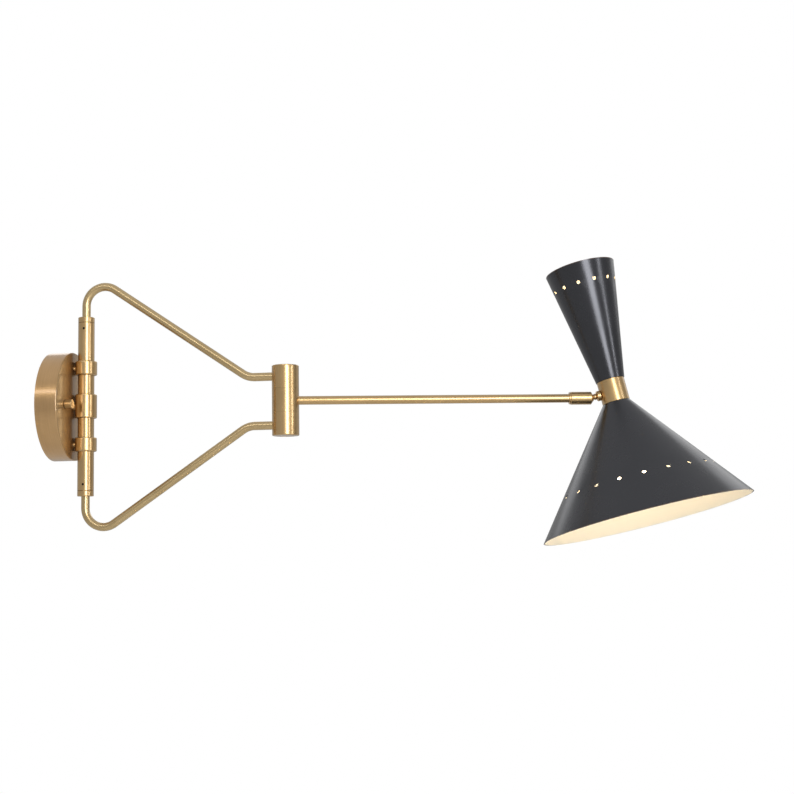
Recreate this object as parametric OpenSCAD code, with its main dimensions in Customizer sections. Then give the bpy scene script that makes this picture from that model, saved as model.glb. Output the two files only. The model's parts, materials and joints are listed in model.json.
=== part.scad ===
// Articulating wall light: round canopy, swinging triangular frame, folding
// second arm and a double cone shade on a ball joint.
// The origin is the centre of the canopy's back on the wall plane.
// The light stands out along -Y, +Z is up.

/* [Canopy] */
// Outside diameter of the round canopy
canopy_d = 120; // [112:1:130]
// Depth of the canopy from the wall to its face
canopy_depth = 24.2; // [23:0.1:30]
// Sheet thickness of the canopy
canopy_wall = 1.2; // [1:0.1:1.6]
// Distance from the canopy face to the hinge tube axis
tube_standoff = 12.6; // [12.4:0.1:16]
// Sideways offset of the switch knob from the centre
switch_x = -31; // [-36:0.5:-26]
// Diameter of the switch knob
knob_d = 10.4; // [10.4:0.1:14]
// Length of the switch knob
knob_len = 8.2; // [7:0.1:12]

/* [Hinge] */
// Outside diameter of the hinge tube
tube_d = 18; // [17.6:0.1:18.4]
// Length of the hinge tube with its two caps
tube_len = 199; // [190:1:220]
// Length of each cap that shows beyond the tube
cap_len = 6.2; // [4:0.1:8]
// Outside diameter of the hinge collars
collar_d = 24; // [23.4:0.1:24.6]
// Height of the upper and lower collars
collar_h = 15.6; // [14:0.1:18]
// Height of the middle collar
collar_mid_h = 26.6; // [22:0.1:30]
// Height of the upper and lower collars from the middle
collar_z = 42.4; // [38:0.1:48]

/* [Swinging frame] */
// Outside diameter of the bent arm tubes
arm_d = 9.2; // [8.6:0.1:9.6]
// Height of the top of the arm bend above the middle
arm_peak = 133.5; // [128:0.2:140]
// Radius of the large bend at the tube
bend_big = 21; // [17:0.5:24]
// Angle of the sloping run below the horizontal
arm_slope = 34.3; // [32:0.1:36]
// Radius of the small bend near the knuckle
bend_small = 24; // [18:1:28]
// Height of the level run into the knuckle
arm_level = 26.8; // [25.5:0.1:27.5]
// Distance from the hinge tube axis to the knuckle axis
frame_reach = 225.6; // [220:0.2:240]

/* [Knuckle and second arm] */
// Diameter of the knuckle
knuckle_d = 29.6; // [28.6:0.1:32]
// Height of the knuckle
knuckle_h = 77; // [76:0.2:82]
// Outside diameter of the straight arm
rod_d = 9.4; // [9:0.1:9.8]
// Distance from the knuckle axis to the ball centre
rod_reach = 334.6; // [280:0.2:360]
// Swing of the straight arm away from the frame
elbow_rest = 12; // [-60:1:60]

/* [Ball joint] */
// Diameter of the ball
ball_d = 11; // [10.8:0.1:11.2]
// Diameter of the swivel socket
socket_d = 14.2; // [14:0.1:15]
// Length of the socket behind the ball centre
socket_back = 21; // [20:0.1:26]
// Distance from the ball centre to the head axis
stud_reach = 28; // [28:0.1:31]
// Lean of the head towards the wall
head_lean = 12.3; // [-24:0.1:28]
// Turn of the head about the stud
head_turn = 6.2; // [-30:0.1:30]
// Height of the band's middle above the stud
stud_rise = 1.3; // [0:0.1:2]

/* [Head] */
// Outside diameter of the brass band between the cones
band_d = 30.6; // [30:0.1:31.4]
// Height of the brass band
band_h = 25.6; // [23.6:0.2:27]
// Sheet thickness of the cones
shade_wall = 1; // [0.8:0.1:1.2]
// Diameter of the upper cone where it meets the band
upper_neck_d = 32; // [31:0.1:33]
// Diameter of the lower cone where it meets the band
lower_neck_d = 30.4; // [30:0.1:32]
// Diameter of the upper cone at its rim
upper_rim_d = 78; // [70:0.2:90]
// Length of the upper cone
upper_len = 131.2; // [124:0.2:150]
// Diameter of the lower cone at its rim
lower_rim_d = 233.6; // [220:1:260]
// Length of the lower cone
lower_len = 132; // [124:0.2:150]
// Number of holes in the upper row
upper_holes = 12; // [8:1:16]
// Number of holes in the lower row
lower_holes = 20; // [12:1:24]
// Diameter of the upper holes
upper_hole_d = 3.9; // [3:0.1:5]
// Diameter of the lower holes
lower_hole_d = 4.1; // [3:0.1:5]
// Distance of the upper row from the rim
upper_row = 22; // [16:0.5:30]
// Distance of the lower row from the rim
lower_row = 41.2; // [30:0.2:60]
// Turn of the upper row of holes
upper_turn = 8; // [0:0.5:30]
// Turn of the lower row of holes
lower_turn = -7.5; // [-18:0.5:18]

/* [Hidden] */
$fn = 64;
eps = 0.01;
brass = [0.72, 0.57, 0.34];
steel = [0.62, 0.63, 0.64];
black = [0.09, 0.09, 0.1];
white = [0.93, 0.93, 0.9];

// Clearances between pieces
fixed_gap = 0.05;
run_gap = 0.06;
// Lap and extra radius where a straight run meets a bend
lap = 0.6;
lap_r = 0.06;
face_gap = 0.06;

// Canopy and what is inside it
canopy_r = canopy_d / 2;
canopy_in_r = canopy_r - canopy_wall;
face_in = canopy_depth - canopy_wall;
edge_cut = 0.8;
strap_w = 20;
strap_t = 2;
tab_t = 2;
tab_len = 14;
tab_gap = 0.3;
tab_out = sqrt(canopy_in_r * canopy_in_r - strap_w * strap_w / 4) - tab_gap;
slot_span = 88.9;
slot_w = 5;
slot_len = 11;
side_screw_r = 2;
side_screw_y = 9;
side_screw_len = 7;
ground_z = 24;
m4_r = 2;
screw_head_r = 3.6;
screw_head_h = 2.2;
side_screw_sink = 0.3;
ground_head_r = 4;
centre_hole_r = 6;
tip_gap = 0.2;

// Switch
switch_r = 9;
switch_back = 7;
switch_bore_from = 12;
bushing_r = 3;
bushing_out = 0.4;
shaft_r = 1.5;
shaft_from = 12.4;
switch_nut_r = 4.5;
switch_nut_h = 1.4;
knob_gap = 0.3;
knob_room = 0.8;
knob_wall = 0.65;
knob_top = 1.2;
knob_edge = 0.5;

// Leads inside the canopy
lead_r = 1.3;
lead_x = 1.55;
lead_bend = 5;
lead_y = 13;
lead_in = 2;
lead_drop = 12;
lead_fan = 26;
lead_mouth = 4;
nut_tip = 12;
nut_tip_r = 2.6;
nut_mouth_r = 4.4;

// Hinge
tube_y = canopy_depth + tube_standoff;
tube_r = tube_d / 2;
tube_bore_r = tube_r - 2;
bush_t = 0.8;
bush_r = tube_r + run_gap + bush_t;
bush_end = 0.6;
collar_r = collar_d / 2;
collar_edge = 1.3;
cap_edge = 0.7;
screw_foot_r = 3.6;
nipple_foot_r = 5.2;
groove_r = tube_r - 0.8;
groove_h = 2 * m4_r + 0.2;
tip_r = tube_r - 0.55;
body_half = tube_len / 2 - cap_len;
plug_len = 22;
plug_r = tube_bore_r - fixed_gap;
arm_r = arm_d / 2;
arm_bore_r = arm_r - 1.2;
arm_fit_r = arm_r + lap_r + fixed_gap;
arm_grip = 16;
grub_r = 1.25;
grub_z = 86.5;
grub_sink = 0.8;
window_h = 8;
window_half = 114;
nipple_r = 4.75;
nipple_bore_r = 3.4;
nipple_in = 5;
nut_h = 3;
nut_af = 14;

// Frame
arm_start = body_half - arm_grip;
big_c = [bend_big, arm_peak - bend_big];
slope_n = [sin(arm_slope), cos(arm_slope)];
slope_d = [cos(arm_slope), -sin(arm_slope)];
slope_off = slope_n * big_c + bend_big;
corner_u = (slope_off - slope_n.y * arm_level) / slope_n.x;
small_c = [corner_u + bend_small * tan(arm_slope / 2), arm_level + bend_small];
slope_a = big_c + bend_big * slope_n;
slope_b = small_c - bend_small * slope_n;
slope_len = norm(slope_b - slope_a);
knuckle_r = knuckle_d / 2;
pivot_r = 5;
pivot_bore_r = 3.4;
socket_in = 6.6;
arm_end = frame_reach - socket_in;

// Knuckle
third = knuckle_h / 3;
seam_gap = 0.1;
mid_half = third / 2 - seam_gap / 2;
part_in = mid_half + seam_gap;
washer_t = 0.5;
washer_r = knuckle_r - 3;
washer_a = mid_half + face_gap;
knuckle_edge = 1;
cap_r = 10;
cap_t = 1.6;
cap_sink = 0.1;
head_r = 7.6;
head_h = 3.4;
head_gap = 0.1;
pivot_half = knuckle_h / 2 - cap_t - face_gap;
rod_r = rod_d / 2;
rod_bore_r = 3.2;
wire_r = 2.9;
wire_sweep = 100;

// Ball joint, along the arm from the knuckle axis
ball_r = ball_d / 2;
socket_r = socket_d / 2;
socket_neck_r = socket_r - 1.4;
socket_edge = 0.3;
socket_front = 3;
nose_back = 1.6;
nose_r = 5.2;
rod_seat = 10.5;
chamber = 8.6;
mouth_a = 1;
mouth_h = 2.6;
mouth_in_r = 3.4;
mouth_out_r = 5.25;
wire_pass_r = 2.4;
seat_r = ball_r - 0.03;
seat_back = 8;
seat_front = 2.6;
ferrule_r = socket_r - 0.4;
ferrule_len = 1;
ferrule_edge = 0.25;
ferrule_space = 0.6;
ferrule_b = rod_reach - socket_back - ferrule_space;
neck_r = 2.4;
flare_a = 7.2;
flare_b = 8.8;
flare_r = 5.7;
flare_c = 10.4;
flare_edge = 0.5;
band_r = band_d / 2;
locknut_b = stud_reach - band_r - face_gap;
spindle_r = 3.4;
spindle_bore_r = 1.5;
spindle_short = 0.1;
funnel_r = 3;
funnel_h = 2.2;

// Head
band_in_r = band_r - 1.5;
hub_r = band_in_r - fixed_gap;
half_band = band_h / 2;
band_edge = 0.3;
pocket_a = 5.6;
pocket_b = 8.7;
pocket_w = 10;
end_nut_r = 4.6;
end_nut_a = 5.8;
end_nut_b = pocket_b - face_gap;
upper_neck = upper_neck_d / 2;
lower_neck = lower_neck_d / 2;
upper_r = upper_rim_d / 2;
lower_r = lower_rim_d / 2;
upper_half = atan((upper_r - upper_neck) / upper_len);
lower_half = atan((lower_r - lower_neck) / lower_len);
head_nipple_r = 4.75;
head_nipple_bore = 3.2;
nipple_out = 11;
head_nipple_half = half_band + nipple_out;
side_hole_r = 2.2;
shade_nut_r = 8;
nut_z = half_band + shade_wall;
holder_z = nut_z + nut_h;

// Lampholders and bulbs, as radii and heights from the holder's foot
nipple_room = 0.3;
wire_hole_r = 2.5;
upper_base_r = 9.5;
upper_body_r = 10.5;
upper_step = 4;
upper_holder_len = 34;
upper_cup_r = 6.2;
upper_cup_z = 11;
lower_base_r = 13;
lower_body_r = 17;
lower_step = 9;
lower_holder_len = 40;
lower_cup_r = 13.4;
lower_cup_z = 12;
bulb_cap_gap = 0.1;
bulb_cap_wall = 0.8;
upper_cap_r = upper_cup_r - bulb_cap_gap;
lower_cap_r = lower_cup_r - bulb_cap_gap;
glass_lift = 0.4;
upper_glass_z = holder_z + upper_holder_len + glass_lift;
lower_glass_z = holder_z + lower_holder_len + glass_lift;
glass_t = 1.2;
glass_least = 0.4;
crown_from = 40;
crown_share = 0.7;
upper_glass = [[6, 0], [8.5, 4], [12, 10], [14.8, 18], [15.8, 27], [15, 37],
    [12.4, 46], [8.8, 54], [5, 60], [2, 63], [0, 64]];
lower_glass = [[13, 0], [14.5, 6], [18, 14], [22, 22], [24, 31], [23.6, 39],
    [21, 46.5], [16.5, 52.5], [10, 56.6], [5, 58.2], [0, 58.6]];

// A round bar along Z from a to b
module bar(r, a, b) translate([0, 0, a]) cylinder(r = r, h = b - a);

// A round tube along Z from a to b
module pipe(ro, ri, a, b) difference() {
    bar(ro, a, b);
    bar(ri, a - 1, b + 1);
}

// Points of a quarter round of radius f about c, from angle a
function quarter(c, f, a) = [for (k = [0:4]) c + f * [cos(a + k * 22.5), sin(a + k * 22.5)]];

// A bar along Z with both edges rounded
module soft_bar(r, a, b, f) rotate_extrude()
    polygon(concat([[0, a]], quarter([r - f, a + f], f, -90), quarter([r - f, b - f], f, 0), [[0, b]]));

// Turns local +Z to point away from the wall
module outward() rotate([90, 0, 0]) children();

// Moves to the hinge tube axis
module at_tube() translate([0, -tube_y, 0]) children();

// Local X runs out from the hinge tube, local Y runs up
module frame_plane() at_tube() rotate([90, 0, -90]) children();

// Moves to the knuckle axis
module at_knuckle() translate([0, -tube_y - frame_reach, 0]) children();

// Local +Z runs along the straight arm from the knuckle axis
module along_rod() at_knuckle() rotate([0, 0, elbow_rest]) rotate([90, 0, 0]) children();

// Local +Z runs along the stud from the ball centre
module along_stud() along_rod() translate([0, 0, rod_reach]) rotate([-head_lean, 0, 0]) children();

// Local +Z is the head axis and the stud comes in from local +Y
module head_frame() along_stud() translate([0, 0, stud_reach]) rotate([-90, 0, 0])
    rotate([0, head_turn, 0]) translate([0, 0, stud_rise]) children();

// The three collar heights
module each_collar() for (z = [-collar_z, 0, collar_z]) translate([0, 0, z]) children();

module wall_bracket() color(steel) difference() {
    union() {
        translate([-strap_w / 2, -strap_t, -tab_out]) cube([strap_w, strap_t, 2 * tab_out]);
        for (s = [0, 1]) mirror([0, 0, s])
            translate([-strap_w / 2, -tab_len, tab_out - tab_t]) cube([strap_w, tab_len, tab_t]);
    }
    for (s = [-1, 1]) translate([0, 0, s * slot_span / 2]) {
        for (k = [-1, 1]) translate([0, 0, k * (slot_len - slot_w) / 2])
            outward() bar(slot_w / 2, -1, strap_t + 1);
        translate([-slot_w / 2, -strap_t - 1, -(slot_len - slot_w) / 2])
            cube([slot_w, strap_t + 2, slot_len - slot_w]);
    }
    translate([0, 0, ground_z]) outward() bar(m4_r + 2 * fixed_gap, -1, strap_t + 1);
    translate([0, -side_screw_y, 0]) bar(side_screw_r + fixed_gap, -canopy_d, canopy_d);
    outward() bar(centre_hole_r, -1, strap_t + 1);
}

module ground_screw() color([0.3, 0.5, 0.32]) translate([0, 0, ground_z]) outward() {
    translate([0, 0, strap_t]) cylinder(r = ground_head_r, h = screw_head_h, $fn = 6);
    bar(m4_r, tip_gap, strap_t + eps);
}

module canopy() color(brass) difference() {
    outward() rotate_extrude() polygon([[0, 0], [canopy_r, 0], [canopy_r, canopy_depth - edge_cut],
        [canopy_r - edge_cut, canopy_depth], [0, canopy_depth]]);
    outward() bar(canopy_in_r, -1, face_in);
    for (z = [-collar_z, collar_z]) translate([0, 0, z])
        outward() bar(m4_r + fixed_gap, 0, canopy_depth + 1);
    outward() bar(nipple_r + fixed_gap, 0, canopy_depth + 1);
    translate([switch_x, 0, 0]) outward() bar(bushing_r + fixed_gap, 0, canopy_depth + 1);
    translate([0, -side_screw_y, 0]) bar(side_screw_r + fixed_gap, -canopy_d, canopy_d);
}

module canopy_side_screws() color(brass) translate([0, -side_screw_y, 0])
    for (s = [0, 1]) mirror([0, 0, s])
        bar(side_screw_r, canopy_r - side_screw_len, canopy_r - side_screw_sink);

// One hinge collar with a foot on the canopy face
module collar(h, hole_r, foot_r) at_tube() difference() {
    union() {
        soft_bar(collar_r, -h / 2, h / 2, collar_edge);
        rotate([-90, 0, 0]) bar(foot_r, 0, tube_standoff);
    }
    bar(bush_r + fixed_gap, -h, h);
    rotate([-90, 0, 0]) bar(hole_r + fixed_gap, 0, tube_standoff + 1);
}

module collar_top() color(brass) translate([0, 0, collar_z]) collar(collar_h, m4_r, screw_foot_r);
module collar_middle() color(brass) collar(collar_mid_h, nipple_r, nipple_foot_r);
module collar_bottom() color(brass) translate([0, 0, -collar_z]) collar(collar_h, m4_r, screw_foot_r);

module bush(h, hole_r) difference() {
    pipe(bush_r, tube_r + run_gap, -h / 2 + bush_end, h / 2 - bush_end);
    rotate([-90, 0, 0]) bar(hole_r + fixed_gap, 0, tube_standoff);
}

module hinge_bushes() color(white) at_tube() {
    for (s = [-1, 1]) translate([0, 0, s * collar_z]) bush(collar_h, m4_r);
    bush(collar_mid_h, nipple_r);
}

module collar_screws() color(steel) for (s = [-1, 1]) translate([0, 0, s * collar_z]) outward() {
    bar(screw_head_r, face_in - screw_head_h, face_in);
    bar(m4_r, face_in - eps, tube_y - tip_r);
}

module wire_nipple() color(steel) outward()
    pipe(nipple_r, nipple_bore_r, face_in - nipple_in, tube_y - tube_r - run_gap - tip_gap);

module nipple_nut() color(steel) outward() difference() {
    translate([0, 0, face_in - nut_h]) cylinder(r = nut_af / 2 / cos(30), h = nut_h, $fn = 6);
    bar(nipple_r + fixed_gap, 0, canopy_depth);
}

// Fans the leads apart around their straight runs
module lead_frame(s) translate([s * lead_x, 0, 0]) rotate([0, -s * lead_fan, 0]) children();

module supply_leads() color(black) for (s = [-1, 1]) lead_frame(s) {
    outward() bar(lead_r + lap_r, lead_y - lap / 2, face_in + lead_in);
    translate([0, -lead_y, -lead_bend]) rotate([90, 0, 90]) rotate_extrude(angle = 90)
        translate([lead_bend, 0]) circle(r = lead_r);
    translate([0, -lead_y + lead_bend, 0]) bar(lead_r + lap_r, -lead_bend - lead_drop, -lead_bend + lap / 2);
}

module wire_nuts() color([0.85, 0.45, 0.2]) for (s = [-1, 1]) lead_frame(s)
    translate([0, -lead_y + lead_bend, 0]) difference() {
        translate([0, 0, -lead_bend - lead_drop - nut_tip])
            cylinder(r1 = nut_tip_r, r2 = nut_mouth_r, h = nut_tip + lead_mouth);
        bar(lead_r + lap_r + fixed_gap, -lead_bend - lead_drop - eps, 0);
    }

module at_switch() translate([switch_x, 0, 0]) outward() children();

module switch_body() color(black) at_switch() difference() {
    union() {
        bar(switch_r, switch_back, face_in);
        bar(bushing_r, face_in - eps, canopy_depth + switch_nut_h + bushing_out);
    }
    bar(shaft_r + run_gap, switch_bore_from, canopy_depth + knob_len);
}

module switch_nut() color(steel) at_switch() difference() {
    translate([0, 0, canopy_depth]) cylinder(r = switch_nut_r, h = switch_nut_h, $fn = 6);
    bar(bushing_r + fixed_gap, 0, canopy_depth + knob_len);
}

module switch_shaft() color(steel) at_switch() bar(shaft_r, shaft_from, canopy_depth + knob_len - knob_top);

module switch_knob() color(brass) at_switch() difference() {
    soft_bar(knob_d / 2, canopy_depth + knob_gap, canopy_depth + knob_len, knob_edge);
    bar(knob_d / 2 - knob_wall, 0, canopy_depth + switch_nut_h + knob_room);
    bar(shaft_r + fixed_gap, 0, canopy_depth + knob_len - knob_top);
}

module hinge_tube() color(brass) at_tube() difference() {
    pipe(tube_r, tube_bore_r, -body_half, body_half);
    for (s = [-1, 1]) {
        translate([0, 0, s * collar_z]) pipe(tube_r + 1, groove_r, -groove_h / 2, groove_h / 2);
        translate([0, 0, s * grub_z]) rotate([0, -90, 0]) bar(grub_r + fixed_gap, 0, tube_d);
    }
    rotate([0, 0, 90 - window_half]) rotate_extrude(angle = 2 * window_half)
        translate([tube_bore_r - 1, -window_h / 2]) square([tube_r - tube_bore_r + 3, window_h]);
}

// One cap with its plug inside the tube
module tube_cap() difference() {
    union() {
        soft_bar(tube_r, body_half, body_half + cap_len, cap_edge);
        bar(plug_r, body_half - plug_len, body_half + eps);
    }
    bar(arm_fit_r, arm_start, body_half + cap_len + 1);
    bar(arm_bore_r, 0, body_half);
    translate([0, 0, grub_z]) rotate([0, -90, 0]) bar(grub_r + fixed_gap, 0, tube_d);
}

module tube_cap_top() color(brass) at_tube() tube_cap();
module tube_cap_bottom() color(brass) at_tube() mirror([0, 0, 1]) tube_cap();

module tube_grub_screws() color(black) at_tube() for (s = [-1, 1]) translate([0, 0, s * grub_z])
    rotate([0, -90, 0]) bar(grub_r, arm_fit_r, tube_r - grub_sink);

// Round stock along the upper arm's route, the straight runs a hair thicker
module arm_route(r, over) {
    translate([0, arm_start - over, 0]) rotate([-90, 0, 0])
        cylinder(r = r + lap_r, h = big_c.y - arm_start + over + lap);
    translate(big_c) rotate([0, 0, 90 - arm_slope]) rotate_extrude(angle = 90 + arm_slope)
        translate([bend_big, 0]) circle(r = r);
    translate(slope_a - lap * slope_d) rotate([0, 0, -arm_slope]) rotate([0, 90, 0])
        cylinder(r = r + lap_r, h = slope_len + 2 * lap);
    translate(small_c) rotate([0, 0, 270 - arm_slope]) rotate_extrude(angle = arm_slope)
        translate([bend_small, 0]) circle(r = r);
    translate([small_c.x - lap, arm_level, 0]) rotate([0, 90, 0])
        cylinder(r = r + lap_r, h = arm_end + over - small_c.x + lap);
}

module arm_tube() frame_plane() difference() {
    arm_route(arm_r, 0);
    arm_route(arm_bore_r, 1);
}

module upper_arm() color(brass) arm_tube();
module lower_arm() color(brass) mirror([0, 0, 1]) arm_tube();
module arm_wire() color([0.75, 0.7, 0.6]) frame_plane() arm_route(wire_r, 0);

// An end part of the knuckle, drawn as the upper one
module knuckle_end() at_knuckle() difference() {
    rotate_extrude() polygon(concat([[0, part_in], [knuckle_r, part_in]],
        quarter([knuckle_r - knuckle_edge, knuckle_h / 2 - knuckle_edge], knuckle_edge, 0),
        [[0, knuckle_h / 2]]));
    bar(pivot_r + fixed_gap, 0, knuckle_h);
    bar(washer_r + fixed_gap, 0, washer_a + washer_t);
    bar(head_r + head_gap, pivot_half - head_h - face_gap, knuckle_h);
    bar(cap_r + fixed_gap, knuckle_h / 2 - cap_t, knuckle_h);
    translate([0, 0, arm_level]) rotate([-90, 0, 0]) {
        bar(arm_fit_r, socket_in, knuckle_d);
        bar(arm_bore_r, 0, knuckle_d);
    }
}

module knuckle_top() color(brass) knuckle_end();
module knuckle_bottom() color(brass) mirror([0, 0, 1]) knuckle_end();

module knuckle_pivot() color(steel) at_knuckle() difference() {
    union() {
        bar(pivot_r, -pivot_half + head_h - eps, pivot_half);
        bar(head_r, -pivot_half, -pivot_half + head_h);
    }
    bar(pivot_bore_r, -knuckle_h, knuckle_h);
    translate([0, 0, arm_level]) rotate([-90, 0, 0]) bar(arm_bore_r, 0, knuckle_d);
    rotate([0, 0, -90 - wire_sweep]) rotate_extrude(angle = 2 * wire_sweep)
        translate([pivot_bore_r - 1, -rod_bore_r]) square([pivot_r, 2 * rod_bore_r]);
}

module pivot_nut() color(steel) at_knuckle() difference() {
    translate([0, 0, pivot_half - head_h]) cylinder(r = head_r - 2 * head_gap, h = head_h, $fn = 6);
    bar(pivot_r + fixed_gap, 0, knuckle_h);
}

module knuckle_washers() color(steel) at_knuckle() for (s = [0, 1]) mirror([0, 0, s])
    pipe(washer_r, pivot_r + fixed_gap, washer_a, washer_a + washer_t);

module knuckle_caps() color(brass) at_knuckle() for (s = [0, 1]) mirror([0, 0, s])
    bar(cap_r, knuckle_h / 2 - cap_t, knuckle_h / 2 - cap_sink);

module knuckle_middle() color(brass) difference() {
    at_knuckle() pipe(knuckle_r, pivot_r + run_gap, -mid_half, mid_half);
    along_rod() bar(rod_r + fixed_gap, socket_in, knuckle_d);
    along_rod() bar(rod_bore_r, 0, knuckle_d);
}

module extension_rod() color(brass) along_rod() pipe(rod_r, rod_bore_r, socket_in, rod_reach - rod_seat);
module rod_wire() color([0.75, 0.7, 0.6]) along_rod() bar(wire_r, socket_in, rod_reach - rod_seat);

module rod_ferrule() color(brass) along_rod() difference() {
    soft_bar(ferrule_r, ferrule_b - ferrule_len, ferrule_b, ferrule_edge);
    bar(rod_r + fixed_gap, 0, rod_reach);
}

module swivel_socket() color(brass) along_rod() translate([0, 0, rod_reach]) difference() {
    rotate_extrude() polygon([[0, -socket_back - ferrule_space],
        [socket_neck_r, -socket_back - ferrule_space], [socket_neck_r, -socket_back],
        [socket_r - socket_edge, -socket_back], [socket_r, -socket_back + socket_edge],
        [socket_r, nose_back], [nose_r, socket_front], [0, socket_front]]);
    bar(rod_r + fixed_gap, -socket_back - 2, -rod_seat);
    bar(wire_pass_r, -socket_back, 0);
    bar(ball_r + run_gap, -chamber, 0);
    sphere(r = ball_r + run_gap);
    translate([0, 0, mouth_a]) cylinder(r1 = mouth_in_r, r2 = mouth_out_r, h = mouth_h);
}

module ball_seat() color(white) along_rod() translate([0, 0, rod_reach]) difference() {
    bar(seat_r, -seat_back, -seat_front);
    sphere(r = ball_r + run_gap);
    bar(wire_pass_r, -socket_back, 0);
}

module ball_stud() color(brass) along_stud() difference() {
    union() {
        sphere(r = ball_r);
        rotate_extrude() polygon([[0, 0], [neck_r, 0], [neck_r, flare_a], [flare_r - flare_edge, flare_b],
            [flare_r, flare_b + flare_edge], [flare_r, flare_c], [0, flare_c]]);
        bar(spindle_r, flare_c - eps, stud_reach - pocket_a - spindle_short);
    }
    bar(spindle_bore_r, -ball_d, stud_reach);
    translate([0, 0, -ball_r]) cylinder(r1 = funnel_r, r2 = spindle_bore_r, h = funnel_h);
}

module stud_locknut() color(brass) along_stud() difference() {
    soft_bar(flare_r, flare_c, locknut_b, flare_edge);
    bar(spindle_r + fixed_gap, 0, stud_reach);
}

module stud_end_nut() color(steel) along_stud() difference() {
    translate([0, 0, stud_reach - end_nut_b]) cylinder(r = end_nut_r, h = end_nut_b - end_nut_a, $fn = 6);
    bar(spindle_r + fixed_gap, 0, stud_reach);
}

// The stud's clearance bore through the band and the hub
module stud_bore() translate([0, 0, -stud_rise]) rotate([-90, 0, 0])
    bar(spindle_r + run_gap, pocket_a, band_d);

module head_collar() color(brass) head_frame() difference() {
    rotate_extrude() polygon([[band_in_r, -half_band], [band_r - band_edge, -half_band],
        [band_r, -half_band + band_edge], [band_r, half_band - band_edge],
        [band_r - band_edge, half_band], [band_in_r, half_band]]);
    stud_bore();
}

module head_hub() color(steel) head_frame() difference() {
    bar(hub_r, -half_band, half_band);
    bar(head_nipple_r + fixed_gap, -band_h, band_h);
    stud_bore();
    translate([-pocket_w / 2, pocket_a - spindle_short, -band_h])
        cube([pocket_w, pocket_b - pocket_a + spindle_short, 2 * band_h]);
}

module head_nipple() color(steel) head_frame() difference() {
    pipe(head_nipple_r, head_nipple_bore, -head_nipple_half, head_nipple_half);
    translate([0, 0, -stud_rise]) rotate([-90, 0, 0]) bar(side_hole_r, 0, band_r);
}

module shade_nuts() color(steel) head_frame() for (s = [0, 1]) mirror([0, 0, s]) difference() {
    translate([0, 0, nut_z]) cylinder(r = shade_nut_r, h = nut_h, $fn = 6);
    bar(head_nipple_r + fixed_gap, 0, band_h * 2);
}

// A sheet cone on a flat neck plate, opening upwards
module cone_shade(neck_r, rim_r, len, half, holes, hole_r, row, turn) {
    top = half_band + len;
    inner = shade_wall / cos(half);
    row_z = top - row;
    row_r = neck_r + (rim_r - neck_r) * (len - row) / len;
    difference() {
        rotate_extrude() polygon([[head_nipple_r + fixed_gap, half_band], [neck_r, half_band], [rim_r, top],
            [rim_r - inner, top], [neck_r - inner + shade_wall * tan(half), half_band + shade_wall],
            [head_nipple_r + fixed_gap, half_band + shade_wall]]);
        for (k = [0:holes - 1]) rotate([0, 0, k * 360 / holes + turn])
            translate([row_r, 0, row_z]) rotate([0, 90 + half, 0]) bar(hole_r, -4, 4);
    }
}

module upper_shade() color(black) head_frame()
    cone_shade(upper_neck, upper_r, upper_len, upper_half, upper_holes, upper_hole_d / 2, upper_row,
        upper_turn);
module lower_shade() color(black) head_frame() mirror([0, 0, 1])
    cone_shade(lower_neck, lower_r, lower_len, lower_half, lower_holes, lower_hole_d / 2, lower_row,
        lower_turn);

// Stepped lampholder with a thread hole below and a socket above
module lampholder(base_r, body_r, step, len, cup_r, cup_z) difference() {
    union() {
        bar(base_r, holder_z, holder_z + step);
        bar(body_r, holder_z + step - eps, holder_z + len);
    }
    bar(head_nipple_r + fixed_gap, 0, head_nipple_half + nipple_room);
    bar(wire_hole_r, 0, holder_z + len);
    bar(cup_r, holder_z + cup_z, holder_z + len + 1);
}

module upper_lampholder() color(white) head_frame()
    lampholder(upper_base_r, upper_body_r, upper_step, upper_holder_len, upper_cup_r, upper_cup_z);
module lower_lampholder() color(white) head_frame() mirror([0, 0, 1])
    lampholder(lower_base_r, lower_body_r, lower_step, lower_holder_len, lower_cup_r, lower_cup_z);

module upper_bulb_cap() color(steel) head_frame()
    pipe(upper_cap_r, upper_cap_r - bulb_cap_wall, holder_z + upper_cup_z, upper_glass_z);
module lower_bulb_cap() color(steel) head_frame() mirror([0, 0, 1])
    pipe(lower_cap_r, lower_cap_r - bulb_cap_wall, holder_z + lower_cup_z, lower_glass_z);

// A thin glass envelope that is open at its neck
module glass(outline, z) {
    n = len(outline);
    inner = [for (i = [n - 1:-1:0]) i == n - 1 ? [0, outline[i].y - glass_t]
        : i == 0 ? [outline[0].x - glass_t, 0]
        : [max(outline[i].x - glass_t, glass_least),
            outline[i].y - (outline[i].y > crown_from ? glass_t * crown_share : 0)]];
    translate([0, 0, z]) rotate_extrude() polygon(concat(outline, inner));
}

module upper_bulb() color([1, 0.95, 0.85]) head_frame() glass(upper_glass, upper_glass_z);
module lower_bulb() color([1, 0.95, 0.85]) head_frame() mirror([0, 0, 1]) glass(lower_glass, lower_glass_z);

wall_bracket();
ground_screw();
canopy();
canopy_side_screws();
collar_top();
collar_middle();
collar_bottom();
hinge_bushes();
collar_screws();
wire_nipple();
nipple_nut();
supply_leads();
wire_nuts();
switch_body();
switch_nut();
switch_shaft();
switch_knob();
hinge_tube();
tube_cap_top();
tube_cap_bottom();
tube_grub_screws();
upper_arm();
lower_arm();
arm_wire();
knuckle_top();
knuckle_bottom();
knuckle_pivot();
pivot_nut();
knuckle_washers();
knuckle_caps();
knuckle_middle();
extension_rod();
rod_wire();
rod_ferrule();
swivel_socket();
ball_seat();
ball_stud();
stud_locknut();
stud_end_nut();
head_collar();
head_hub();
head_nipple();
shade_nuts();
upper_shade();
lower_shade();
upper_lampholder();
lower_lampholder();
upper_bulb_cap();
lower_bulb_cap();
upper_bulb();
lower_bulb();
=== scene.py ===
import json
import math
import bpy
from mathutils import Matrix, Vector


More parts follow.
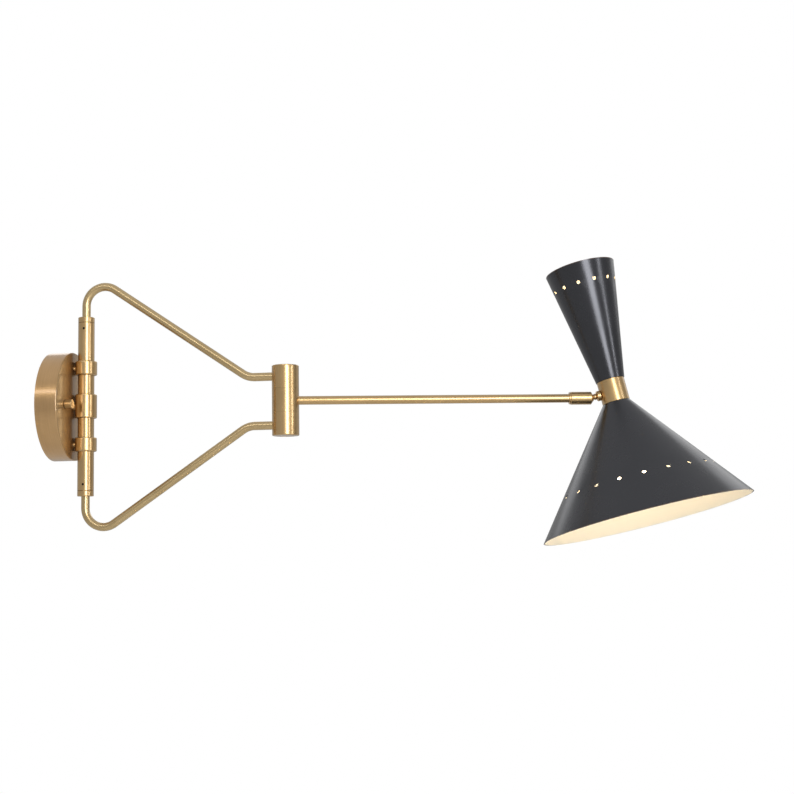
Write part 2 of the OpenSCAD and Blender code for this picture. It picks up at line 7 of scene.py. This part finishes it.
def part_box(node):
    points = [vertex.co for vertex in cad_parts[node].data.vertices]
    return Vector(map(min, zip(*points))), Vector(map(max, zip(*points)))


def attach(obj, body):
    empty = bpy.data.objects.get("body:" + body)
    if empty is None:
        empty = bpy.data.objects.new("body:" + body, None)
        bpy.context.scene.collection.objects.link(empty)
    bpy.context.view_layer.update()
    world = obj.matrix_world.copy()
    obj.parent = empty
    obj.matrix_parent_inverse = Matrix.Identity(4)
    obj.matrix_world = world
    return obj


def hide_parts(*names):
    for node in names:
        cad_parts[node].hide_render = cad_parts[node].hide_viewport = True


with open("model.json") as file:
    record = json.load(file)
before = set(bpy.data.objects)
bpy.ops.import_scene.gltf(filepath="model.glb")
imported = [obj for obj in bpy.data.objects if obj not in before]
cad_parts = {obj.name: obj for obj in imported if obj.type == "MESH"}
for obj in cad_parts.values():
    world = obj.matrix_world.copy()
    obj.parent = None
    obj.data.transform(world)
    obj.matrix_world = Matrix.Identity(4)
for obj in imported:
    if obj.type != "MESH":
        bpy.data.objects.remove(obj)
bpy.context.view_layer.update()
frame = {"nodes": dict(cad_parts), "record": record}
nodes = frame["nodes"]

# the camera stands where the photograph was taken, found from the lamp's own edges
photoCamera = {
    "azimuth": -82.169, "elevation": -6.053, "roll": -0.888,  # degrees
    "distance": 1.7, "sensor": 36.0, "focalPixels": 1528.4, "framePixels": 794.0,
    "alongRight": 0.38134, "height": 0.00579,  # what the lens points at, metres
    "clip": (0.05, 50.0),
}


def placeCamera(c):
    azimuth, elevation, roll = (math.radians(c[k]) for k in ("azimuth", "elevation", "roll"))
    level = math.cos(elevation)
    back = Vector((math.sin(azimuth) * level, -math.cos(azimuth) * level, math.sin(elevation)))
    right = Vector((math.cos(azimuth), math.sin(azimuth), 0.0))
    up = back.cross(right)
    rolledRight = right * math.cos(roll) + up * math.sin(roll)
    rolledUp = up * math.cos(roll) - right * math.sin(roll)
    aim = right * c["alongRight"] + Vector((0.0, 0.0, c["height"]))
    lens = bpy.data.cameras.new("photoCamera")
    lens.sensor_width = c["sensor"]
    lens.lens = c["focalPixels"] * c["sensor"] / c["framePixels"]
    lens.clip_start, lens.clip_end = c["clip"]
    cam = bpy.data.objects.new("photoCamera", lens)
    bpy.context.scene.collection.objects.link(cam)
    turn = Matrix((rolledRight, rolledUp, back)).transposed()
    cam.matrix_world = Matrix.Translation(aim + back * c["distance"]) @ turn.to_4x4()
    bpy.context.scene.camera = cam
    return back


towardCamera = placeCamera(photoCamera)
bpy.context.scene.view_settings.view_transform = "Standard"
print("camera placed")


class Field:  # a value or colour that varies over a surface
    def __init__(self, tree, socket):
        self.tree, self.socket = tree, socket

    def node(self, kind, inputs, out=0, **settings):
        made = self.tree.nodes.new(kind)
        for key, value in settings.items():
            setattr(made, key, value)
        for key, value in inputs.items():
            if isinstance(value, Field):
                self.tree.links.new(value.socket, made.inputs[key])
            else:
                made.inputs[key].default_value = value
        return Field(self.tree, made.outputs[out])

    def calc(self, operation, other=0.0):
        return self.node("ShaderNodeMath", {0: self, 1: other}, operation=operation)

    def __add__(self, other):
        return self.calc("ADD", other)

    def __sub__(self, other):
        return self.calc("SUBTRACT", other)

    def __rsub__(self, other):
        return self.node("ShaderNodeMath", {0: other, 1: self}, operation="SUBTRACT")

    def __mul__(self, other):
        return self.calc("MULTIPLY", other)

    def __pow__(self, other):
        return self.calc("POWER", other)

    __radd__ = __add__
    __rmul__ = __mul__

    def between(self, low, high, start=0.0, end=1.0, smooth=False):
        return self.node("ShaderNodeMapRange", {"Value": self, 1: low, 2: high, 3: start, 4: end},
                         interpolation_type="SMOOTHSTEP" if smooth else "LINEAR")

    def blend(self, first, second):  # self is the share of second
        return self.node("ShaderNodeMix", {0: self, 6: first, 7: second}, out=2, data_type="RGBA")

    def noise(self, scale, detail, rough):
        return self.node("ShaderNodeTexNoise",
                         {"Vector": self, "Scale": scale, "Detail": detail, "Roughness": rough})

    def mapped(self, place=(0, 0, 0), turn=(0, 0, 0), scale=(1, 1, 1)):
        return self.node("ShaderNodeMapping",
                         {"Vector": self, "Location": place, "Rotation": turn, "Scale": scale})

    def vector(self, operation, other, out=0):
        return self.node("ShaderNodeVectorMath", {0: self, 1: other}, out, operation=operation)

    def sideOutput(self, name):  # another output of the same node
        return Field(self.tree, self.socket.node.outputs[name])

    def parts(self):
        split = self.node("ShaderNodeSeparateXYZ", {0: self})
        return [split.sideOutput(i) for i in range(3)]

    def bump(self, strength, distance):
        return self.node("ShaderNodeBump", {"Strength": strength, "Distance": distance, "Height": self})


def newMaterial(name, **fixed):
    mat = bpy.data.materials.new(name)
    mat.use_nodes = True
    tree = mat.node_tree
    shader = tree.nodes["Principled BSDF"]
    for key, value in fixed.items():
        shader.inputs[key.replace("_", " ")].default_value = value
    coords = tree.nodes.new("ShaderNodeTexCoord")
    return mat, shader, Field(tree, coords.outputs["Object"])


def feed(shader, **links):
    for key, field in links.items():
        field.tree.links.new(field.socket, shader.inputs[key.replace("_", " ")])


def rgb(r, g, b):  # a colour as the photo shows it, 0 to 255, made linear by the sRGB rule
    def lin(v):
        v = v / 255
        return v / 12.92 if v <= 0.04045 else ((v + 0.055) / 1.055) ** 2.4
    return (lin(r), lin(g), lin(b), 1.0)


def dress(mat, *names):
    for n in names:
        ob = nodes[n]
        ob.data.materials.clear()
        ob.data.materials.append(mat)


# aged brass under clear lacquer: faint brushing, cloudy patches and a few brown specks;
# each noise is given as scale, detail and roughness, and lengths are in metres
brass = {
    "bright": rgb(219, 184, 129), "dull": rgb(204, 168, 113), "brown": rgb(150, 108, 66),
    "yellower": {"bright": rgb(222, 194, 143), "dull": rgb(203, 174, 122)},
    "redder": {"bright": rgb(224, 181, 126), "dull": rgb(205, 162, 108)},
    "lacquer": {"Coat_Weight": 0.8, "Coat_Roughness": 0.13, "Coat_IOR": 1.6},
    "roughness": (0.27, 0.33),
    "patchNoise": (30.0, 2.0, 0.4), "lineNoise": (1.0, 2.0, 0.6),
    "speckNoise": (260.0, 3.0, 0.7), "speckBand": (0.66, 0.8), "speckShare": 0.1,
    "toneBand": (0.3, 0.7), "toneOfPatch": 0.55, "toneOfLines": 0.45,
    "unevenBand": (0.3, 0.75), "unevenLines": 0.4, "unevenPatch": 0.6, "unevenSpecks": 0.05,
    "reliefLines": 0.7, "reliefPatch": 0.3, "relief": (0.12, 0.000001),
    "grainAcross": 1100.0, "grainAlong": 14.0, "latheLines": 900.0, "latheAround": 1.6,
    # face and faceShadeShare: painted shade, the canopy's front blended towards a darker brown
    "face": rgb(162, 136, 96), "faceShadeShare": 0.7, "faceDuller": 0.2, "faceDeep": 0.0008,
    # seamShadeShare: painted shade, a dark brown line along the tube's seams
    "seamBand": (0.0002, 0.00045), "seamShadeShare": 0.85, "seamDuller": 0.25,
}


def brassFinish(coords, shader, grain, tones=brass, face=None, seam=None):
    patch = coords.noise(*brass["patchNoise"])
    specks = coords.noise(*brass["speckNoise"]).between(*brass["speckBand"], smooth=True)
    lines = grain.noise(*brass["lineNoise"])
    patchTone, lineTone = (part.between(*brass["toneBand"]) for part in (patch, lines))
    tone = patchTone * brass["toneOfPatch"] + lineTone * brass["toneOfLines"]
    colour = tone.blend(tones["dull"], tones["bright"])
    colour = (specks * brass["speckShare"]).blend(colour, brass["brown"])
    uneven = lines * brass["unevenLines"] + patch * brass["unevenPatch"] + specks * brass["unevenSpecks"]
    low, high = brass["roughness"]
    rough = uneven.between(*brass["unevenBand"]) * (high - low) + low
    if face is not None:  # the canopy's front is rougher than its side, and its colour is blended towards a darker brown as painted shade for the dark reflection of the tube and collars in it
        rough = rough + face * brass["faceDuller"]
        colour = (face * brass["faceShadeShare"]).blend(colour, brass["face"])
    if seam is not None:  # painted shade: a dark brown line, also rougher, where two pieces meet, standing in for the shadow in the seam
        rough = rough + seam * brass["seamDuller"]
        colour = (seam * brass["seamShadeShare"]).blend(colour, brass["brown"])
    relief = lines * brass["reliefLines"] + patch * brass["reliefPatch"]
    feed(shader, Base_Color=colour, Roughness=rough, Normal=relief.bump(*brass["relief"]))


def straightBrass(name, turn=(0, 0, 0), seamAt=None, tones=brass):  # grain along Z after the turn
    mat, shader, coords = newMaterial(name, Metallic=1.0, **brass["lacquer"])
    across, along = brass["grainAcross"], brass["grainAlong"]
    grain = coords.mapped(turn=turn).mapped(scale=(across, across, along))
    seam = None
    if seamAt is not None:  # the same height above and below the middle
        fromSeam = (coords.parts()[2].calc("ABSOLUTE") - seamAt).calc("ABSOLUTE")
        seam = fromSeam.between(*brass["seamBand"], 1.0, 0.0, smooth=True)
    brassFinish(coords, shader, grain, tones, seam=seam)
    return mat


def turnedBrass(name, place, turn, faceAt=None):  # lathe marks round the piece's own axis
    mat, shader, coords = newMaterial(name, Metallic=1.0, **brass["lacquer"])
    x, y, z = coords.mapped(place=place).mapped(turn=turn).parts()
    radius = (x * x + y * y) ** 0.5
    around = y.calc("ARCTAN2", x)
    lines, slow = brass["latheLines"], brass["latheAround"]
    grain = radius.node("ShaderNodeCombineXYZ", {0: radius * lines, 1: z * lines, 2: around * slow})
    if faceAt is None:
        brassFinish(coords, shader, grain)
    else:
        # the canopy's front, which gets a rougher finish and a painted shade
        face = z.between(faceAt - brass["faceDeep"], faceAt)
        brassFinish(coords, shader, grain, brass["redder"], face=face)
    return mat


# enamel on the two cones: black outside, warm white inside, worn to brown at the rim
enamel = {
    "black": rgb(15, 15, 17), "worn": rgb(22, 22, 24), "inside": rgb(250, 242, 222),
    "roughOut": (0.22, 0.30), "roughIn": 0.5, "sheen": (0.89, 0.91, 1.0, 1.0), "specular": 1.0,
    "cloudNoise": (26.0, 4.0, 0.6), "wornBand": (0.35, 0.7), "roughBand": (0.3, 0.7),
    "peelNoise": (620.0, 2.0, 0.5), "peelShare": 0.7, "cloudShare": 0.3, "relief": (0.25, 0.00001),
    "edge": rgb(84, 58, 40), "edgeWide": 0.0009, "edgeFull": 0.6,
    "innerFrom": -0.003,  # metres, so that the rim's end counts as outside
}


def conePaint(name, centre, axis, rimAt):
    mat, shader, coords = newMaterial(name, Metallic=0.0, Specular_IOR_Level=enamel["specular"],
                                      Specular_Tint=enamel["sheen"])
    normal = coords.sideOutput("Normal")
    away = coords.vector("SUBTRACT", centre)
    lift = away.vector("DOT_PRODUCT", axis, out=1)
    onAxis = lift.node("ShaderNodeVectorMath", {0: axis, "Scale": lift}, operation="SCALE")
    spoke = away.vector("SUBTRACT", onAxis)
    inner = spoke.vector("DOT_PRODUCT", normal, out=1).calc("LESS_THAN", enamel["innerFrom"])
    cloud = coords.noise(*enamel["cloudNoise"])
    peel = coords.noise(*enamel["peelNoise"])
    dark = cloud.between(*enamel["wornBand"]).blend(enamel["black"], enamel["worn"])
    edgeFrom = rimAt - enamel["edgeWide"]
    edgeTo = rimAt - enamel["edgeWide"] * enamel["edgeFull"]
    rim = lift.calc("ABSOLUTE").between(edgeFrom, edgeTo)
    colour = (rim * (1.0 - inner)).blend(inner.blend(dark, enamel["inside"]), enamel["edge"])
    rough = cloud.between(*enamel["roughBand"], *enamel["roughOut"])
    rough = rough * (1.0 - inner) + inner * enamel["roughIn"]
    relief = peel * enamel["peelShare"] + cloud * enamel["cloudShare"]
    feed(shader, Base_Color=colour, Roughness=rough, Normal=relief.bump(*enamel["relief"]))
    return mat


# where the moving bodies turn, and which way
joints = {j["name"]: j for j in frame["record"]["behaviour"]["joints"]}
mounts = {m["name"]: m for m in frame["record"]["mounts"]}
tube = Vector(joints["frame_swing"]["pos_m"])
knob = Vector(joints["switch_turn"]["pos_m"])
ball = Vector(joints["head_tilt"]["pos_m"])
rodWay = Vector(joints["head_roll"]["axis"])
studWay = Vector(joints["head_spin"]["axis"])
headWay = Vector(mounts["upper_lamp"]["axis"])

# the middle of the brass band lies between the two lamps
bandMiddle = {"toUpperLamp": 28.0, "toLowerLamp": 29.0}  # millimetres


def findHeadCentre(upward, downward):
    upper, lower = (Vector(mounts[n]["pos_m"]) for n in ("upper_lamp", "lower_lamp"))
    return (upper * downward + lower * upward) / (upward + downward)


headCentre = findHeadCentre(bandMiddle["toUpperLamp"], bandMiddle["toLowerLamp"])


def turnToZ(way):
    return way.to_track_quat("Z", "Y").inverted().to_euler()


def reach(node, start, way):  # how far the node goes from start along way
    return max((v.co - start).dot(way) for v in nodes[node].data.vertices)


armSlope = 56  # degrees that turn an arm's sloping run upright
quarter = math.radians(90)
dress(straightBrass("brassTube", seamAt=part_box("hinge_tube")[1].z),
      "hinge_tube", "tube_cap_top", "tube_cap_bottom")
dress(straightBrass("brassUpright"), "collar_top", "collar_middle", "collar_bottom",
      "knuckle_top", "knuckle_bottom", "knuckle_middle", "knuckle_caps")
for side, slope in (("upper", armSlope), ("lower", -armSlope)):
    armTurn = (math.radians(slope), 0, 0)
    dress(straightBrass(side + "ArmBrass", turn=armTurn, tones=brass["yellower"]), side + "_arm")
dress(straightBrass("brassRod", turn=turnToZ(rodWay)), "extension_rod", "rod_ferrule", "swivel_socket")
studBrass = straightBrass("brassStud", turn=turnToZ(studWay))
dress(studBrass, "ball_stud", "stud_locknut")
dress(turnedBrass("brassBand", tuple(-headCentre), turnToZ(headWay)), "head_collar")
dress(turnedBrass("brassCanopy", (0, 0, 0), (-quarter, 0, 0), faceAt=-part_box("canopy")[0].y),
      "canopy", "canopy_side_screws")
dress(turnedBrass("brassKnob", (-knob.x, 0, 0), (quarter, 0, 0)), "switch_knob")
dress(conePaint("enamelUpper", headCentre, headWay, reach("upper_shade", headCentre, headWay)),
      "upper_shade")
dress(conePaint("enamelLower", headCentre, headWay, reach("lower_shade", headCentre, -headWay)),
      "lower_shade")

# the other finishes: two colours that cloud into each other, and the nodes that have them
plainFinishes = {
    "zincSteel": {
        "colours": ((170, 172, 175), (205, 207, 208)), "roughness": 0.35, "metallic": 1.0,
        "on": ("wall_bracket", "collar_screws", "wire_nipple", "nipple_nut", "switch_nut",
               "switch_shaft", "knuckle_pivot", "pivot_nut", "knuckle_washers", "stud_end_nut",
               "head_nipple", "shade_nuts")},
    "greenZinc": {
        "colours": ((40, 110, 60), (60, 140, 80)), "roughness": 0.4, "metallic": 0.6,
        "on": ("ground_screw",)},
    "hubAlloy": {
        "colours": ((185, 186, 188), (210, 210, 212)), "roughness": 0.4, "metallic": 1.0,
        "on": ("head_hub", "upper_bulb_cap", "lower_bulb_cap")},
    "nylon": {
        "colours": ((225, 222, 212), (238, 236, 228)), "roughness": 0.5,
        "on": ("hinge_bushes", "ball_seat")},
    "blackPlastic": {
        "colours": ((32, 32, 34), (46, 46, 48)), "roughness": 0.45,
        "on": ("supply_leads", "switch_body")},
    "blackenedSteel": {
        "colours": ((14, 14, 15), (24, 24, 26)), "roughness": 0.5, "metallic": 0.4,
        "on": ("tube_grub_screws",)},
    "orangePlastic": {
        "colours": ((214, 112, 40), (226, 132, 58)), "roughness": 0.45,
        "on": ("wire_nuts",)},
    "wireSleeve": {
        "colours": ((196, 188, 170), (214, 206, 190)), "roughness": 0.6,
        "on": ("arm_wire", "rod_wire")},
    "whiteHolder": {
        "colours": ((232, 230, 222), (244, 242, 236)), "roughness": 0.35,
        "on": ("upper_lampholder", "lower_lampholder")},
    "litGlass": {
        "colours": ((255, 240, 214), (255, 246, 228)), "roughness": 0.35,
        "on": ("upper_bulb", "lower_bulb")},
    "paleFloor": {
        "colours": ((246, 246, 244), (250, 250, 248)), "roughness": 0.7, "scale": 4.0},
}
plainGrain = {
    "cloud": (4.0, 0.6), "fine": (2.0, 0.5), "fineTimes": 9, "colourBand": (0.3, 0.7),
    "roughBand": (0.25, 0.75), "roughTimes": (0.8, 1.25), "cloudShare": 0.6, "fineShare": 0.4,
    "relief": (0.3, 0.00003),
}


def plainMaterial(name, colours, roughness, on=(), metallic=0.0, scale=120.0):
    g = plainGrain
    mat, shader, coords = newMaterial(name, Metallic=metallic)
    cloud = coords.noise(scale, *g["cloud"])
    fine = coords.noise(scale * g["fineTimes"], *g["fine"])
    first, second = (rgb(*c) for c in colours)
    least, most = (roughness * t for t in g["roughTimes"])
    uneven = cloud * g["cloudShare"] + fine * g["fineShare"]
    feed(shader, Base_Color=cloud.between(*g["colourBand"]).blend(first, second),
         Roughness=uneven.between(*g["roughBand"], least, most), Normal=fine.bump(*g["relief"]))
    dress(mat, *on)
    return mat


plainMaterials = {name: plainMaterial(name, **finish) for name, finish in plainFinishes.items()}

# the two bulbs are lit
bulbLight = {"Emission Color": (1.0, 0.81, 0.56, 1.0), "Emission Strength": 10.5}
glass = plainMaterials["litGlass"].node_tree.nodes["Principled BSDF"]
for socketName, level in bulbLight.items():
    glass.inputs[socketName].default_value = level
print("finishes on")


# small pieces, each modelled standing on the origin along +Z and then set in its place
modelling = {"sides": 48, "segments": 3, "facing": 0.9, "smoothBelow": math.radians(35)}


def pickOnly(ob):
    bpy.ops.object.select_all(action="DESELECT")
    bpy.context.view_layer.objects.active = ob
    ob.select_set(True)


def startCylinder(radius, length, sides=modelling["sides"]):
    bpy.ops.object.select_all(action="DESELECT")
    bpy.ops.mesh.primitive_cylinder_add(vertices=sides, radius=radius, depth=length,
                                        location=(0, 0, length / 2))
    ob = bpy.context.object
    bpy.ops.object.transform_apply(location=True, rotation=True, scale=True)
    return ob


def roundEnd(ob, edge, end=1, segments=modelling["segments"]):  # end is 1 above and -1 below
    bpy.ops.object.mode_set(mode="EDIT")
    bpy.ops.mesh.select_mode(type="FACE")
    bpy.ops.mesh.select_all(action="DESELECT")
    bpy.ops.object.mode_set(mode="OBJECT")
    for f in ob.data.polygons:
        f.select = f.normal.z * end > modelling["facing"]
    bpy.ops.object.mode_set(mode="EDIT")
    bpy.ops.mesh.region_to_loop()
    bpy.ops.mesh.bevel(offset=edge, segments=segments)
    bpy.ops.object.mode_set(mode="OBJECT")


def cutWith(ob, cutter):
    pickOnly(ob)
    cut = ob.modifiers.new("recess", "BOOLEAN")
    cut.operation, cut.object, cut.solver = "DIFFERENCE", cutter, "EXACT"
    bpy.ops.object.modifier_apply(modifier=cut.name)
    bpy.data.objects.remove(cutter)


def copyOf(ob):
    twin = ob.copy()
    twin.data = ob.data.copy()
    bpy.context.scene.collection.objects.link(twin)
    return twin


def setPiece(ob, name, mat, place, way, body, *stoodFor):
    ob.name = name
    ob.data.name = name
    ob.data.materials.clear()
    ob.data.materials.append(mat)
    pickOnly(ob)
    ob.matrix_world = Matrix.Translation(place) @ way.to_track_quat("Z", "Y").to_matrix().to_4x4()
    bpy.ops.object.transform_apply(location=True, rotation=True, scale=True)
    bpy.ops.object.shade_smooth_by_angle(angle=modelling["smoothBelow"])
    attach(ob, body)
    if stoodFor:
        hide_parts(*stoodFor)


# the two grub screws in the hinge tube, with a hex socket each
grub = {"radius": 0.00125, "edge": 0.0002, "hexRadius": 0.00075, "hexSides": 6, "deep": 0.0012}


def buildGrubScrews():
    low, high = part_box("tube_grub_screws")
    length = high.x - low.x
    first = startCylinder(grub["radius"], length)
    roundEnd(first, grub["edge"])
    socket = startCylinder(grub["hexRadius"], 2 * grub["deep"], grub["hexSides"])
    socket.data.transform(Matrix.Translation((0, 0, length - grub["deep"])))
    cutWith(first, socket)
    second = copyOf(first)
    for ob, name, z in ((first, "grubScrewTop", high.z), (second, "grubScrewBottom", low.z)):
        place = Vector((high.x, tube.y, z - math.copysign(grub["radius"], z)))
        setPiece(ob, name, plainMaterials["blackenedSteel"], place, Vector((-1, 0, 0)),
                 "frame", "tube_grub_screws")


buildGrubScrews()

# the two slotted screws in the canopy's side
sideScrew = {"radius": 0.002, "edge": 0.0004, "slotWide": 0.0007, "slotLong": 0.006, "deep": 0.0009}


def buildSideScrews():
    low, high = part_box("canopy_side_screws")
    middle = (low + high) / 2
    inner = min(abs(v.co.x) for v in nodes["canopy_side_screws"].data.vertices)
    length = high.x - inner
    first = startCylinder(sideScrew["radius"], length)
    roundEnd(first, sideScrew["edge"])
    bpy.ops.object.select_all(action="DESELECT")
    bpy.ops.mesh.primitive_cube_add(size=1.0, location=(0, 0, length))
    slot = bpy.context.object
    slot.scale = (sideScrew["slotWide"], sideScrew["slotLong"], 2 * sideScrew["deep"])
    bpy.ops.object.transform_apply(location=True, rotation=True, scale=True)
    cutWith(first, slot)
    second = copyOf(first)
    screwBrass = straightBrass("brassScrew", turn=(0, quarter, 0))
    for ob, name, side in ((first, "sideScrewRight", 1), (second, "sideScrewLeft", -1)):
        place = Vector((side * inner, middle.y, middle.z))
        setPiece(ob, name, screwBrass, place, Vector((side, 0, 0)), "wall", "canopy_side_screws")


buildSideScrews()

# the small bead on the neck of the ball stud, next to its flange
bead = {"from": 0.0054, "to": 0.00715, "radius": 0.0035, "edge": 0.0006, "edgeSegments": 4, "waist": 0.0003}


def buildStudBead():
    ob = startCylinder(bead["radius"], bead["to"] - bead["from"])
    roundEnd(ob, bead["edge"], -1, bead["edgeSegments"])
    roundEnd(ob, bead["waist"])
    setPiece(ob, "studBead", studBrass, ball + studWay * bead["from"], studWay, "stud")


buildStudBead()
print("small pieces on")

# a plain pale floor, and a studio that the camera sees white and the lamp sees dimmer:
# metal mirrors around, less farSide and more above, and overhead lights all the rest
room = {
    "floorLevel": -1.0, "floorHalf": 3.6, "floorMiddle": -0.4,
    "around": 0.42, "farSide": 0.08, "farSideBand": (0.72, 0.94),
    "above": 0.16, "aboveBand": (0.5, 0.9), "overhead": 0.38,
}


def buildFloor():
    bpy.ops.object.select_all(action="DESELECT")
    place = (0, room["floorMiddle"], room["floorLevel"])
    bpy.ops.mesh.primitive_plane_add(size=2 * room["floorHalf"], location=place)
    floor = bpy.context.object
    floor.name = "floor"
    bpy.ops.object.transform_apply(location=True)
    floor.data.materials.append(plainMaterials["paleFloor"])


def buildStudio():
    world = bpy.data.worlds.new("studio")
    bpy.context.scene.world = world
    world.use_nodes = True
    tree = world.node_tree
    tree.nodes.clear()
    path = tree.nodes.new("ShaderNodeLightPath")
    seen, mirror, through = (Field(tree, path.outputs[name]) for name in
                             ("Is Camera Ray", "Is Glossy Ray", "Is Transmission Ray"))
    coords = tree.nodes.new("ShaderNodeTexCoord")
    y, z = Field(tree, coords.outputs["Generated"]).parts()[1:]
    white = seen.calc("MAXIMUM", through)
    farSide = (0.0 - y).between(*room["farSideBand"], 0.0, room["farSide"], smooth=True)
    above = z.between(*room["aboveBand"], 0.0, room["above"], smooth=True)
    seenInMetal = room["around"] - farSide + above
    level = white + (1.0 - white) * (mirror * seenInMetal + (1.0 - mirror) * room["overhead"])
    back = tree.nodes.new("ShaderNodeBackground")
    back.inputs["Color"].default_value = (1, 1, 1, 1)
    out = tree.nodes.new("ShaderNodeOutputWorld")
    tree.links.new(level.socket, back.inputs["Strength"])
    tree.links.new(back.outputs[0], out.inputs[0])


# soft boxes round the lamp: degrees to the right of the camera and up, metres away and across
softBoxes = {
    "keyBox": {"right": 17.0, "up": 7.0, "away": 5.5, "size": (2.0, 2.3), "watts": 90.0},
    "stripBox": {"right": 61.0, "up": 8.0, "away": 5.0, "size": (0.5, 2.6), "watts": 24.0},
    "topBox": {"right": -10.0, "up": 27.0, "away": 2.3, "size": (2.5, 0.25), "watts": 6.5},
    "backLeftBox": {"right": -160.0, "up": 24.0, "away": 2.4, "size": (1.0, 0.8), "watts": 2.2},
    "backRightBox": {"right": 142.0, "up": 26.0, "away": 2.4, "size": (2.0, 1.0), "watts": 5.0},
}
lampMiddle = Vector((0.03, -0.38, 0.0))


def softBox(name, right, up, away, size, watts):
    turn = math.atan2(towardCamera.y, towardCamera.x) + math.radians(right)
    lift = math.radians(up)
    way = Vector((math.cos(turn) * math.cos(lift), math.sin(turn) * math.cos(lift), math.sin(lift)))
    lamp = bpy.data.lights.new(name, "AREA")
    lamp.shape = "RECTANGLE"
    lamp.size, lamp.size_y = size
    lamp.energy = watts
    ob = bpy.data.objects.new(name, lamp)
    ob.location = lampMiddle + way * away
    ob.rotation_euler = (-way).to_track_quat("-Z", "Y").to_euler()
    bpy.context.scene.collection.objects.link(ob)


buildFloor()
buildStudio()
for boxName, box in softBoxes.items():
    softBox(boxName, **box)
print("room and lights on")
